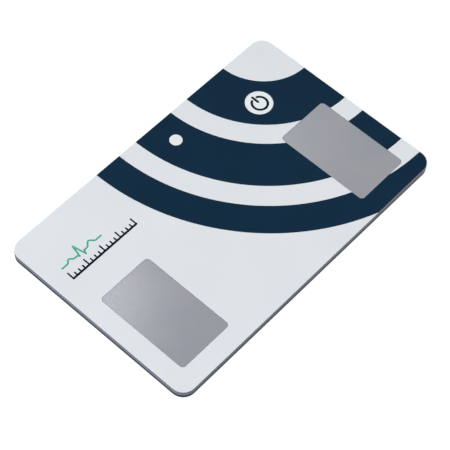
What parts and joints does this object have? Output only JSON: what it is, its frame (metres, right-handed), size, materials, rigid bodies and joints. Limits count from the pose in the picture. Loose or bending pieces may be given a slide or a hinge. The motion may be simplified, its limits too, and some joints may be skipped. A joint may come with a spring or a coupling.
{
  "type": "ecg home monitor",
  "caption": "Card-sized home ECG monitor: a thin rounded card with flush thumb electrodes, a flush sprung power button and a status light.",
  "frame": {"origin": "centre of the flat back face, which the card lies on", "axes": "+X along the card's long side to the right, +Y across it towards the side with the power button, +Z out of the front face"},
  "size_m": [0.0856, 0.054, 0.0025],
  "materials": {
    "film": "printed polyester film, white and navy, soft gloss",
    "frame": "moulded mid-grey edge, satin",
    "cover": "moulded darker grey, fine matt grain",
    "electrode_steel": "stainless steel, fine satin",
    "button": "pale plastic, satin",
    "light_guide": "milky plastic, satin",
    "adhesive": "bonding tape",
    "spacer": "polyester spacer film",
    "circuit": "polyimide flexible circuit",
    "pouch_foil": "laminated foil",
    "dome_steel": "stainless or nickel sheet",
    "contact_gold": "gold plated",
    "copper": "etched copper",
    "chip": "moulded epoxy",
    "ceramic": "fired ceramic with tinned ends"
  },
  "bodies": {
    "card": {"rear_cover": "cover", "perimeter_bond": "adhesive", "core_frame": "frame", "front_adhesive": "adhesive", "front_film": "film", "left_electrode": "electrode_steel", "right_electrode": "electrode_steel", "left_gasket": "adhesive", "right_gasket": "adhesive", "electrode_springs": "contact_gold", "snap_dome": "dome_steel", "switch_contacts": "contact_gold", "dome_locator": "spacer", "light_guide": "light_guide", "status_lamp": "light_guide", "flex_circuit": "circuit", "circuit_tape": "adhesive", "battery_cell": "pouch_foil", "battery_tape": "adhesive", "battery_tabs": "dome_steel", "radio_chip": "chip", "front_end_chip": "chip", "regulator_chip": "chip", "power_inductor": "chip", "crystals": "dome_steel", "chip_capacitors": "ceramic", "chip_resistors": "chip", "protection_diodes": "chip", "printed_antenna": "copper", "test_pads": "contact_gold"},
    "button": {"power_button": "button", "button_actuator": "button"}
  },
  "joints": [
    {"name": "power_button_press", "type": "slide", "parent": "card", "child": "button", "axis": [0, 0, -1], "range_m": [0, 0.00022], "stiffness_N_per_m": 8000, "deforming": ["snap_dome"]}
  ]
}
